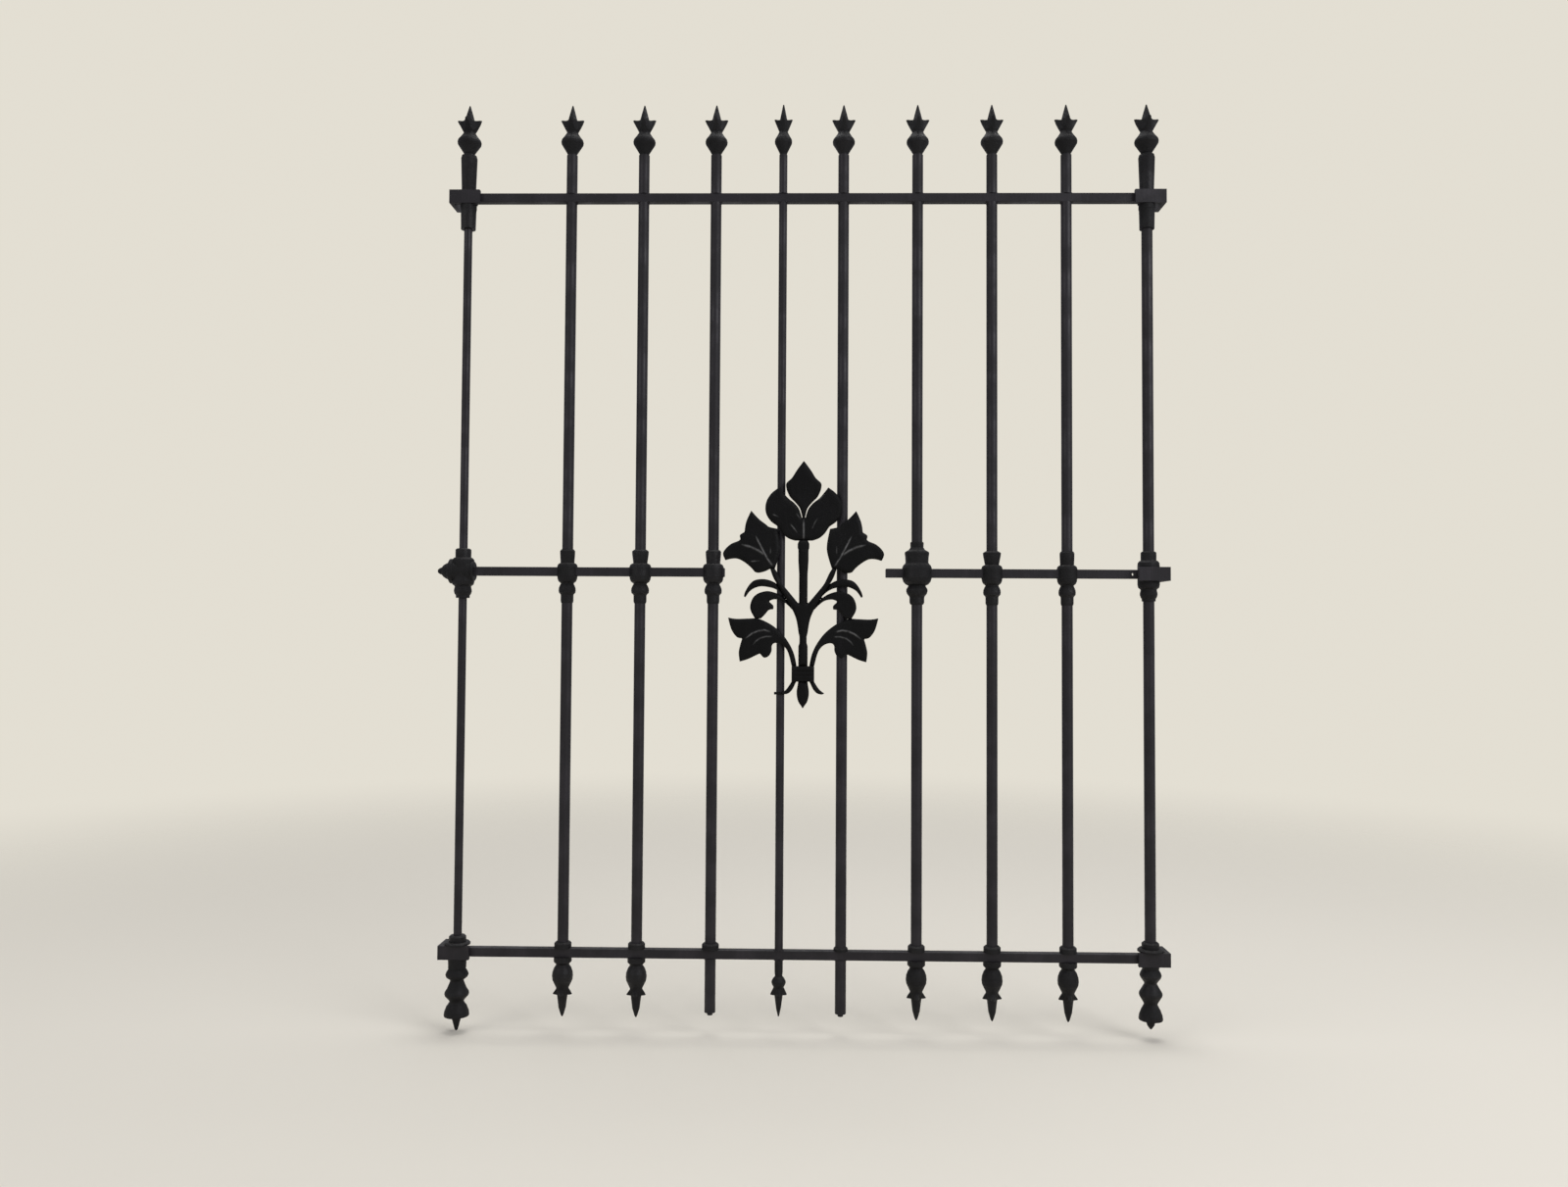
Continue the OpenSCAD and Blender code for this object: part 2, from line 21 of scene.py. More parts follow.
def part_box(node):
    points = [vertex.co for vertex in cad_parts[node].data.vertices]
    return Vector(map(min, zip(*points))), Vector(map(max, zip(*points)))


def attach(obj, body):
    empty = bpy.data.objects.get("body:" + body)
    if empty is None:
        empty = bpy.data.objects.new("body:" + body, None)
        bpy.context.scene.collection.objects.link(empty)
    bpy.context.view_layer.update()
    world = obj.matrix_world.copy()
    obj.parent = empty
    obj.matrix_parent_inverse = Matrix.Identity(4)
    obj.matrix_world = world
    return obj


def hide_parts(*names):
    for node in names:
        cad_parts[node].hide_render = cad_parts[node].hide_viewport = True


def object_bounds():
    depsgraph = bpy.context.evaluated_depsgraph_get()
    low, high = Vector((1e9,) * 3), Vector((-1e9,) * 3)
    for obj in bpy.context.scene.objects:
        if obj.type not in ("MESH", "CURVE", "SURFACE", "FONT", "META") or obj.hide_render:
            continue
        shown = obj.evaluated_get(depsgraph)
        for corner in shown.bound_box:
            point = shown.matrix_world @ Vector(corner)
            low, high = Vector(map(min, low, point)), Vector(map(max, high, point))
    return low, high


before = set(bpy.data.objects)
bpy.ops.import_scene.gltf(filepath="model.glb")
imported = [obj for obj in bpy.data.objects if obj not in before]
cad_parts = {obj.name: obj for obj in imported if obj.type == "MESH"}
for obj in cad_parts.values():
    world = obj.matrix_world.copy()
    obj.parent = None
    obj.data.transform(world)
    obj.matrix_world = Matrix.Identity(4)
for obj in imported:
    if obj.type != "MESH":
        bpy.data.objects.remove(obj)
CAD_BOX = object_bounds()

LOG = logging.getLogger("grille")
MM = 0.001
SEED = 11
BODY = "root"
RIDGE = "ridge"
WELD_GAP = 0.01 * MM
SHARP_ANGLE = math.radians(50)

Point = tuple[float, float]
Spot = tuple[float, float, float]
Colour = tuple[float, float, float]
Sockets = dict[str | int, object]

EVEN: Spot = (1.0, 1.0, 1.0)


# ---- shader maths ----


class Value:
    """A shader socket that takes part in Python arithmetic."""

    def __init__(self, shader: "Shader", socket: bpy.types.NodeSocket) -> None:
        """Wraps a socket.

        Args:
            shader: the node tree that holds the socket.
            socket: the output to calculate with.
        """
        self.shader = shader
        self.socket = socket

    def _math(self, operation: str, first: object, second: object = 0.0) -> "Value":
        """Adds one Math node.

        Args:
            operation: the Math node's operation.
            first: a value or number for the first socket.
            second: a value or number for the second socket.

        Returns:
            The node's result.
        """
        return self.shader.node("ShaderNodeMath", {"operation": operation}, {0: first, 1: second})

    def __add__(self, other: object) -> "Value":
        """Returns self + other."""
        return self._math("ADD", self, other)

    def __radd__(self, other: object) -> "Value":
        """Returns other + self."""
        return self._math("ADD", other, self)

    def __sub__(self, other: object) -> "Value":
        """Returns self - other."""
        return self._math("SUBTRACT", self, other)

    def __rsub__(self, other: object) -> "Value":
        """Returns other - self."""
        return self._math("SUBTRACT", other, self)

    def __mul__(self, other: object) -> "Value":
        """Returns self * other."""
        return self._math("MULTIPLY", self, other)

    def __rmul__(self, other: object) -> "Value":
        """Returns other * self."""
        return self._math("MULTIPLY", other, self)

    def step(self, low: float, high: float) -> "Value":
        """Turns the value into a soft mask.

        Args:
            low: the value at which the mask starts.
            high: the value at which the mask is full.

        Returns:
            A value from 0 to 1.
        """
        settings = {"interpolation_type": "SMOOTHSTEP"}
        return self.shader.node("ShaderNodeMapRange", settings, {"Value": self, 1: low, 2: high})


class Shader:
    """The node tree of one material, with its Principled shader."""

    def __init__(self, name: str) -> None:
        """Makes an empty material.

        Args:
            name: the material's name.
        """
        self.material = bpy.data.materials.new(name)
        self.material.use_nodes = True
        self.tree = self.material.node_tree
        self.tree.nodes.clear()
        self.principled = self.tree.nodes.new("ShaderNodeBsdfPrincipled")
        output = self.tree.nodes.new("ShaderNodeOutputMaterial")
        self.tree.links.new(self.principled.outputs[0], output.inputs["Surface"])

    def node(
        self, kind: str, settings: dict[str, object], inputs: Sockets, output: str | int = 0
    ) -> Value:
        """Adds a node.

        Args:
            kind: the node's type.
            settings: the node's own properties, set first.
            inputs: values or links by socket name or number.
            output: the name or number of the output that is wanted.

        Returns:
            That output as a value.
        """
        made = self.tree.nodes.new(kind)
        for key, setting in settings.items():
            setattr(made, key, setting)
        for key, given in inputs.items():
            self._feed(made.inputs[key], given)
        return Value(self, made.outputs[output])

    def _feed(self, socket: bpy.types.NodeSocket, given: object) -> None:
        """Links a value to a socket, or sets the socket to a constant.

        Args:
            socket: the input to feed.
            given: a Value, a number, a colour or a vector.
        """
        if isinstance(given, Value):
            self.tree.links.new(given.socket, socket)
        elif socket.type == "RGBA" and len(given) == 3:
            socket.default_value = (*given, 1.0)
        else:
            socket.default_value = given

    def place(self, scale: Spot = EVEN) -> Value:
        """Returns the point on the surface in metres, stretched by scale."""
        where = self.node("ShaderNodeTexCoord", {}, {}, "Object")
        return self.node("ShaderNodeVectorMath", {"operation": "MULTIPLY"}, {0: where, 1: scale})

    def cloud(self, size: float, detail: float = 3.0, scale: Spot = EVEN) -> Value:
        """Makes soft noise.

        Args:
            size: the size of its patches in metres.
            detail: how many finer layers it has.
            scale: stretch along X, Y and Z.

        Returns:
            A value round 0.5.
        """
        inputs = {"Vector": self.place(scale), "Scale": 1.0 / size, "Detail": detail}
        return self.node("ShaderNodeTexNoise", {}, inputs)

    def pits(self, size: float) -> Value:
        """Returns the distance to the nearest of many small pits, size metres apart."""
        return self.node("ShaderNodeTexVoronoi", {}, {"Vector": self.place(), "Scale": 1.0 / size})

    def facing_up(self) -> Value:
        """Returns how far the surface faces up, from -1 to 1."""
        normal = self.node("ShaderNodeNewGeometry", {}, {}, "Normal")
        return self.node("ShaderNodeSeparateXYZ", {}, {0: normal}, "Z")

    def attribute(self, name: str) -> Value:
        """Returns a value stored on the mesh's points."""
        return self.node("ShaderNodeAttribute", {"attribute_name": name}, {}, "Fac")

    def blend(self, share: object, low: object, high: object) -> Value:
        """Mixes two colours.

        Args:
            share: how much of the second colour shows.
            low: the first colour.
            high: the second colour.

        Returns:
            The mixed colour.
        """
        # The Mix node has several sockets of each name, so the colour ones go by number.
        inputs = {0: share, 6: low, 7: high}
        return self.node("ShaderNodeMix", {"data_type": "RGBA"}, inputs, 2)

    def bump(self, height: Value, depth: float) -> Value:
        """Returns the normal of a surface raised by height times depth metres."""
        inputs = {"Height": height, "Distance": depth, "Strength": 1.0}
        return self.node("ShaderNodeBump", {}, inputs)

    def finish(self, **inputs: object) -> bpy.types.Material:
        """Feeds the Principled shader.

        Args:
            inputs: values by socket name, with _ for a space.

        Returns:
            The finished material.
        """
        for key, given in inputs.items():
            self._feed(self.principled.inputs[key.replace("_", " ")], given)
        return self.material


# ---- finishes ----


class Texture(Enum):
    """The surface under the paint."""

    ROLLED = "rolled bar"
    CAST = "sand casting"
    WELD = "weld bead"


BUMP_DEPTH: dict[Texture, float] = {
    Texture.ROLLED: 0.16 * MM,
    Texture.CAST: 0.42 * MM,
    Texture.WELD: 0.35 * MM,
}


@dataclass(frozen=True)
class Mottle:
    """Uneven patches that cover part of a surface."""

    size: float
    detail: float
    low: float
    high: float
    stretch: Spot = EVEN

    def mask(self, shader: Shader) -> Value:
        """Returns where the patches are, from 0 to 1."""
        return shader.cloud(self.size, self.detail, self.stretch).step(self.low, self.high)


@dataclass(frozen=True)
class BlackPaint:
    """Black satin paint: dust on what faces up, streaks where rain ran, and veins painted light
    grey, partly scuffed paint and partly a painted highlight.
    """

    name: str
    texture: Texture
    colour: Colour = (0.0105, 0.0092, 0.0115)
    faded: Colour = (0.0215, 0.0188, 0.0238)
    dust: Colour = (0.090, 0.085, 0.080)
    # Light grey of the veins: partly scuffed paint, partly a painted highlight on the ridges.
    rubbed_and_highlight: Colour = (0.16, 0.16, 0.16)
    dust_share: float = 0.5
    rough: float = 0.6
    smooth: float = 0.42
    sheen_level: float = 0.30
    patches: Mottle = Mottle(42 * MM, 4.0, 0.42, 0.66)
    patch_share: float = 0.55
    streaks: Mottle = Mottle(6 * MM, 3.0, 0.5, 0.75, (1.0, 1.0, 0.06))
    streak_share: float = 0.35
    speckle: Mottle = Mottle(2.4 * MM, 3.0, 0.36, 0.62)
    upward: Point = (0.45, 0.95)
    dust_roughness: float = 0.25
    rub_and_highlight_patches: Mottle = Mottle(5 * MM, 2.0, 0.3, 0.6)
    rub_and_highlight_share: Point = (0.4, 0.5)

    def height(self, shader: Shader) -> Value:
        """Works out the relief under the paint.

        Args:
            shader: the material's node tree.

        Returns:
            The height, as a share of the texture's depth.
        """
        if self.texture is Texture.ROLLED:
            mill_lines = shader.cloud(2.2 * MM, 2.0, (1.0, 1.0, 0.09))
            waves = shader.cloud(7 * MM)
            return mill_lines + waves * 1.4
        if self.texture is Texture.WELD:
            return shader.cloud(1.2 * MM, 2.0)
        grains = shader.cloud(1.5 * MM, 4.0)
        hollows = shader.cloud(6 * MM, 2.0)
        pits = shader.pits(2.6 * MM).step(0.05, 0.42)
        return grains + hollows * 1.5 + pits * 0.5

    def make(self) -> bpy.types.Material:
        """Builds the material.

        Returns:
            The paint as a Blender material.
        """
        shader = Shader(self.name)
        patches = self.patches.mask(shader)
        fading = patches * self.patch_share + self.streaks.mask(shader) * self.streak_share
        facing_up = shader.facing_up().step(*self.upward)
        dusty = facing_up * self.speckle.mask(shader) * self.dust_share
        # The veins are painted light grey, partly scuffed paint and partly a painted highlight
        # along the ridges.
        least_rub_and_highlight, more_rub_and_highlight = self.rub_and_highlight_share
        worn_and_highlight = shader.attribute(RIDGE) * (self.rub_and_highlight_patches.mask(shader) * more_rub_and_highlight + least_rub_and_highlight)
        paint = shader.blend(fading, self.colour, self.faded)
        paint = shader.blend(dusty, paint, self.dust)
        paint = shader.blend(worn_and_highlight, paint, self.rubbed_and_highlight)
        shine = patches * (self.rough - self.smooth)
        return shader.finish(
            Base_Color=paint,
            Roughness=self.rough - shine + dusty * self.dust_roughness,
            Normal=shader.bump(self.height(shader), BUMP_DEPTH[self.texture]),
            Specular_IOR_Level=self.sheen_level,
        )


@dataclass(frozen=True)
class PlainBackdrop:
    """Plain pale ground that keeps the shadow and fades into the backdrop further out."""

    name: str
    colour: Colour
    middle: Spot
    fade_start: float = 0.9
    fade_end: float = 3.4
    rough: float = 0.9
    sheen_level: float = 0.1

    def make(self) -> bpy.types.Material:
        """Builds the material.

        Returns:
            The ground's Blender material.
        """
        shader = Shader(self.name)
        ends = {0: shader.place(), 1: self.middle}
        reach = shader.node("ShaderNodeVectorMath", {"operation": "DISTANCE"}, ends, "Value")
        return shader.finish(
            Base_Color=self.colour,
            Roughness=self.rough,
            Specular_IOR_Level=self.sheen_level,
            Alpha=1.0 - reach.step(self.fade_start, self.fade_end),
        )


@dataclass
class Finishes:
    """The paints in use, made once each."""

    bar: bpy.types.Material = field(init=False)
    casting: bpy.types.Material = field(init=False)
    ornament: bpy.types.Material = field(init=False)
    weld: bpy.types.Material = field(init=False)

    def __post_init__(self) -> None:
        """Makes the materials."""
        self.bar = BlackPaint("bar_paint", Texture.ROLLED).make()
        self.casting = BlackPaint(
            "casting_paint",
            Texture.CAST,
            colour=(0.0066, 0.0064, 0.0070),
            faded=(0.0120, 0.0116, 0.0128),
            dust_share=0.4,
            rough=0.64,
            sheen_level=0.20,
        ).make()
        self.ornament = BlackPaint(
            "ornament_paint",
            Texture.CAST,
            colour=(0.0036, 0.0036, 0.0037),
            faded=(0.0064, 0.0063, 0.0067),
            dust_share=0.22,
            rough=0.62,
            sheen_level=0.11,
        ).make()
        self.weld = BlackPaint("weld_paint", Texture.WELD, dust_share=0.3).make()


# ---- help with meshes ----


def box_of(node: str) -> tuple[Vector, Vector]:
    """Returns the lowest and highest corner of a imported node."""
    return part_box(node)


def middle_of(node: str) -> Vector:
    """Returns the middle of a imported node."""
    low, high = box_of(node)
    return (low + high) / 2


def paint(obj: bpy.types.Object, material: bpy.types.Material, slot: str) -> None:
    """Gives an object one material.

    Args:
        obj: the object to paint.
        material: the paint.
        slot: not used.
    """
    obj.data.materials.clear()
    obj.data.materials.append(material)


def add_piece(
    name: str, mesh: bpy.types.Mesh, material: bpy.types.Material, slot: str
) -> bpy.types.Object:
    """Makes a mesh into a piece of the grille.

    Args:
        name: the piece's name.
        mesh: its mesh, in place.
        material: its paint.
        slot: passed on to paint, which does not use it.

    Returns:
        The piece, riding on the grille.
    """
    obj = bpy.data.objects.new(name, mesh)
    bpy.context.scene.collection.objects.link(obj)
    mesh.shade_smooth()
    paint(obj, material, slot)
    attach(obj, BODY)
    LOG.info("%s: %d points, %d faces", name, len(mesh.vertices), len(mesh.polygons))
    return obj


def soften_edges(obj: bpy.types.Object, width: float, segments: int = 2) -> None:
    """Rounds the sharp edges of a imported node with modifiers.

    Args:
        obj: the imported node's object.
        width: the width of the rounding.
        segments: how many faces round each edge.
    """
    weld = obj.modifiers.new("joined_points", "WELD")
    weld.merge_threshold = WELD_GAP
    bevel = obj.modifiers.new("soft_edges", "BEVEL")
    bevel.width = width
    bevel.segments = segments
    bevel.limit_method = "ANGLE"
    bevel.angle_limit = SHARP_ANGLE
    bevel.use_clamp_overlap = True
    bevel.harden_normals = True


# ---- sub-assemblies ----


@dataclass
class Bars:
    """The ten round uprights and the square rails."""

    finishes: Finishes
    uprights: int = 10
    rails: tuple[str, ...] = ("top_rail", "middle_rail_left", "middle_rail_right", "bottom_rail")
    corner: float = 0.9 * MM

    def dress(self) -> None:
        """Paints the uprights and rails, and rounds the rails' corners."""
        for i in range(1, self.uprights + 1):
            paint(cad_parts[f"upright_{i}"], self.finishes.bar, "bar_paint")
        for name in self.rails:
            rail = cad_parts[name]
            paint(rail, self.finishes.bar, "bar_paint")
            soften_edges(rail, self.corner)
        LOG.info("bars: %d uprights and %d rails painted", self.uprights, len(self.rails))


@dataclass
class Brackets:
    """The flat strips that hold the grille to the wall."""

    finishes: Finishes
    names: tuple[str, ...] = (
        "top_left_bracket",
        "top_right_bracket",
        "middle_right_bracket",
        "bottom_left_bracket",
        "bottom_right_bracket",
    )
    corner: float = 0.7 * MM

    def dress(self) -> None:
        """Paints the strips and rounds their edges."""
        for name in self.names:
            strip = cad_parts[name]
            paint(strip, self.finishes.bar, "bar_paint")
            soften_edges(strip, self.corner)
        LOG.info("brackets: %d strips painted", len(self.names))


@dataclass
class Castings:
    """Knuckles, finials, drops, sleeves and collars."""

    finishes: Finishes
    names: tuple[str, ...] = (
        *(f"knuckle_{i}" for i in (1, 2, 3, 4, 7, 8, 9, 10)),
        "spear_finials",
        "slim_spear_finial",
        "post_finials",
        "drop_finials",
        "slim_drop_finial",
        "post_drops",
        "post_sleeves",
        "rail_collars",
    )

    def dress(self) -> None:
        """Paints the castings."""
        for name in self.names:
            paint(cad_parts[name], self.finishes.casting, "casting_paint")
        LOG.info("castings: %d nodes painted", len(self.names))


@dataclass
class WeldBeads:
    """Weld beads where the round uprights meet the flat faces of the rails."""

    finishes: Finishes
    radius: float = 1.5 * MM
    sides: int = 8
    half_ripple: float = 0.5 * 1.8 * MM
    fewest_steps: int = 6
    trough: float = 0.82
    crest: float = 0.18
    end_cut: float = 0.08
    end_taper: float = 0.4
    unevenness: Point = (0.9, 1.12)
    bar_gap: float = 0.2 * MM
    cover: float = 0.9
    widest: float = 0.95
    post_radius: float = 2.4 * MM
    post_reach: float = 11.5 * MM
    post_lift: float = 1.2 * MM
    post_spread: float = math.radians(32)
    rng: random.Random = field(default_factory=lambda: random.Random(SEED))

    def arc(
        self,
        mesh: bmesh.types.BMesh,
        centre: Vector,
        reach: float,
        turn: float,
        spread: float,
        size: float,
    ) -> None:
        """Adds one bead that follows the foot of a bar.

        Args:
            mesh: the mesh that takes the bead.
            centre: the middle of the bar on the rail's face.
            reach: the distance of the bead from that middle.
            turn: the angle to the middle of the bead.
            spread: half the angle that the bead covers.
            size: the bead's radius.
        """
        steps = max(self.fewest_steps, round(2 * spread * reach / self.half_ripple))
        rings = []
        for k in range(steps + 1):
            share = k / steps
            angle = turn + spread * (2 * share - 1)
            out = Vector((math.cos(angle), math.sin(angle), 0.0))
            wave = self.trough + self.crest * abs(math.sin(math.pi * share * steps * 0.5))
            along = self.end_cut + (1 - 2 * self.end_cut) * share
            taper = math.sin(math.pi * along) ** self.end_taper
            thick = size * wave * taper * self.rng.uniform(*self.unevenness)
            spot = centre + out * reach
            rings.append([
                mesh.verts.new(spot + (out * math.cos(a) + Vector((0, 0, math.sin(a)))) * thick)
                for a in (2 * math.pi * s / self.sides for s in range(self.sides))
            ])
        for near, far in zip(rings, rings[1:]):
            for s in range(self.sides):
                after = (s + 1) % self.sides
                mesh.faces.new((near[s], near[after], far[after], far[s]))
        mesh.faces.new(rings[0][::-1])
        mesh.faces.new(rings[-1])

    def build(self) -> None:
        """Lays the beads on the top and bottom rails."""
        mesh = bmesh.new()
        top_low, top_high = box_of("top_rail")
        foot_low, foot_high = box_of("bottom_rail")
        half_width = (top_high.y - top_low.y) / 2
        joints = [(i, z) for i in range(2, 10) for z in (top_low.z, top_high.z)]
        # Collars and bottom finials cover every other joint of the bottom rail.
        joints += [(5, foot_low.z), (5, foot_high.z), (6, foot_low.z), (4, foot_low.z)]
        for i, z in joints:
            low, high = box_of(f"upright_{i}")
            bar_radius = (high.x - low.x) / 2
            centre = Vector(((low.x + high.x) / 2, (low.y + high.y) / 2, z))
            spread = math.asin(min(self.widest, half_width / bar_radius)) * self.cover
            for turn in (0.0, math.pi):
                self.arc(mesh, centre, bar_radius + self.bar_gap, turn, spread, self.radius)
        self.post_welds(mesh)
        bmesh.ops.recalc_face_normals(mesh, faces=mesh.faces)
        made = bpy.data.meshes.new("weld_beads")
        mesh.to_mesh(made)
        mesh.free()
        add_piece("weld_beads", made, self.finishes.weld, "bar_paint")

    def post_welds(self, mesh: bmesh.types.BMesh) -> None:
        """Adds the heavier beads on the inner side of the posts, under and over the rails.

        Args:
            mesh: the mesh that takes the beads.
        """
        for post, inward in (("upright_1", 0.0), ("upright_10", math.pi)):
            centre = middle_of(post)
            for rail in ("top_rail", "bottom_rail"):
                low, high = box_of(rail)
                for z in (low.z - self.post_lift, high.z + self.post_lift):
                    spot = Vector((centre.x, centre.y, z))
                    bead = (self.post_reach, inward, self.post_spread, self.post_radius)
                    self.arc(mesh, spot, *bead)


@dataclass(frozen=True)
class Vein:
    """A raised line on a leaf, in millimetres right of the stem and up from the lowest tip."""

    points: tuple[Point, ...]
    width: float = 1.1
    rise: float = 1.0
    root_fade: float = 2.0
    tip_fade: float = 7.0

    def mirrored(self) -> "Vein":
        """Returns the same vein on the left."""
        return replace(self, points=tuple((-u, v) for u, v in self.points))


def distance_to_lines(spots: np.ndarray, starts: np.ndarray, ends: np.ndarray) -> np.ndarray:
    """Measures how far spots in a plane lie from a set of straight lines.

    Args:
        spots: the spots, one a row.
        starts: the lines' first ends.
        ends: the lines' other ends.

    Returns:
        Each spot's distance to the nearest line.
    """
    nearest = np.full(len(spots), np.inf)
    for start, end in zip(starts, ends):
        along = end - start
        length = max(float(along @ along), 1e-12)
        share = np.clip(((spots - start) @ along) / length, 0.0, 1.0)
        gap = np.linalg.norm(spots - start - share[:, None] * along, axis=1)
        np.minimum(nearest, gap, out=nearest)
    return nearest


@dataclass
class Relief:
    """One plate of the ornament, modelled in relief inside the plate's own thickness.

    The rim's thickness is a share of the plate's. The other sizes are in millimetres.
    """

    node: str
    edge: float = 0.5
    crown: float = 7.0
    veins: tuple[Vein, ...] = ()
    vein_height: float = 1.3
    voxel: float = 0.7
    ribbed: float = 0.0
    rib_pitch: float = 5.6
    join_gap: float = 0.005
    fewest_points: int = 400

    def outline(self, mesh: bmesh.types.BMesh) -> tuple[np.ndarray, np.ndarray]:
        """Finds the plate's outline from its front face.

        Args:
            mesh: the plate, with its points joined.

        Returns:
            The starts and ends of the outline's edges, in X and Z.
        """
        starts, ends = [], []
        for edge in mesh.edges:
            front = [f for f in edge.link_faces if f.normal.y < -0.9]
            if len(front) == 1:
                a, b = edge.verts
                starts.append((a.co.x, a.co.z))
                ends.append((b.co.x, b.co.z))
        return np.array(starts), np.array(ends)

    def fine_mesh(self, mesh: bmesh.types.BMesh) -> bpy.types.Mesh:
        """Remeshes the plate finely and evenly.

        Args:
            mesh: the plate, with its points joined.

        Returns:
            The fine mesh.
        """
        rough = bpy.data.meshes.new(self.node + "_rough")
        mesh.to_mesh(rough)
        carrier = bpy.data.objects.new(self.node + "_rough", rough)
        bpy.context.scene.collection.objects.link(carrier)
        remesh = carrier.modifiers.new("even_grid", "REMESH")
        remesh.mode = "VOXEL"
        remesh.voxel_size = self.voxel * MM
        graph = bpy.context.evaluated_depsgraph_get()
        fine = bpy.data.meshes.new_from_object(carrier.evaluated_get(graph))
        bpy.data.objects.remove(carrier)
        bpy.data.meshes.remove(rough)
        return fine

    def drop_specks(self, mesh: bpy.types.Mesh) -> None:
        """Deletes the loose specks that the fine grid leaves in narrow slits.

        Args:
            mesh: the fine mesh.
        """
        grid = bmesh.new()
        grid.from_mesh(mesh)
        left = set(grid.verts)
        specks = []
        while left:
            island = []
            waiting = [left.pop()]
            while waiting:
                spot = waiting.pop()
                island.append(spot)
                near = {link.other_vert(spot) for link in spot.link_edges} & left
                left -= near
                waiting += near
            if len(island) < self.fewest_points:
                specks += island
        bmesh.ops.delete(grid, geom=specks, context="VERTS")
        grid.to_mesh(mesh)
        grid.free()
        if specks:
            LOG.info("%s: %d points of loose specks dropped", self.node, len(specks))

    def ridges(self, spots: np.ndarray) -> np.ndarray:
        """Works out how high the veins stand.

        Args:
            spots: the points' places in X and Z, from the stem's foot, in millimetres.

        Returns:
            The rise at each point, from 0 to 1.
        """
        rise = np.zeros(len(spots))
        for vein in self.veins:
            line = np.array(vein.points, float)
            gap = distance_to_lines(spots, line[:-1], line[1:])
            for tip, fade in ((line[0], vein.root_fade), (line[-1], vein.tip_fade)):
                away = np.linalg.norm(spots - tip, axis=1)
                gap = gap + vein.width * np.clip(1 - away / fade, 0.0, 1.0)
            rise = np.maximum(rise, vein.rise * np.exp(-((gap / vein.width) ** 2)))
        return rise

    def front(
        self, thick: float, inset: np.ndarray, spots: np.ndarray, ridge: np.ndarray
    ) -> np.ndarray:
        """Works out how far the front stands off the flat back.

        Args:
            thick: the plate's thickness in millimetres.
            inset: each point's distance from the outline in millimetres.
            spots: the points' places in X and Z, from the stem's foot, in millimetres.
            ridge: the veins' rise at each point, from 0 to 1.

        Returns:
            The height of the front at each point in millimetres.
        """
        vein_height = self.vein_height if self.veins else 0.0
        swell = np.clip(inset / self.crown, 0.0, 1.0)
        dome = self.edge + (1 - self.edge) * np.sqrt(1 - (1 - swell) ** 2)
        turns = spots[:, 1] * 2 * math.pi / self.rib_pitch
        bands = 1 - self.ribbed * (0.5 - 0.5 * np.cos(turns))
        return (thick - vein_height) * dome * bands + vein_height * ridge

    def build(self, origin: Vector, material: bpy.types.Material) -> bpy.types.Object:
        """Models the plate's relief.

        Args:
            origin: the stem's axis at the ornament's lowest tip.
            material: the ornament's paint.

        Returns:
            The piece that stands for the plate.
        """
        mesh = bmesh.new()
        mesh.from_mesh(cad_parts[self.node].data)
        bmesh.ops.remove_doubles(mesh, verts=mesh.verts, dist=self.join_gap * MM)
        bmesh.ops.recalc_face_normals(mesh, faces=mesh.faces)
        starts, ends = self.outline(mesh)
        fine = self.fine_mesh(mesh)
        self.drop_specks(fine)
        mesh.free()
        low, high = box_of(self.node)
        place = np.zeros(len(fine.vertices) * 3)
        fine.vertices.foreach_get("co", place)
        place = place.reshape(-1, 3)
        inset = distance_to_lines(place[:, [0, 2]], starts, ends) / MM
        spots = (place[:, [0, 2]] - np.array((origin.x, origin.z))) / MM
        ridge = self.ridges(spots)
        front = self.front((high.y - low.y) / MM, inset, spots, ridge)
        depth = np.clip((high.y - place[:, 1]) / (high.y - low.y), 0.0, 1.0)
        place[:, 1] = high.y - depth * front * MM
        place = np.clip(place, np.array(low), np.array(high))
        fine.vertices.foreach_set("co", place.reshape(-1))
        # The veins' height is stored for the paint, which paints them light grey: partly scuffed
        # paint, partly a painted highlight.
        stored = fine.attributes.new(RIDGE, "FLOAT", "POINT")
        stored.data.foreach_set("value", (ridge * (depth > 0.5)).astype(np.float32))
        piece = add_piece(self.node + "_relief", fine, material, "casting_paint")
        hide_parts(self.node)
        return piece


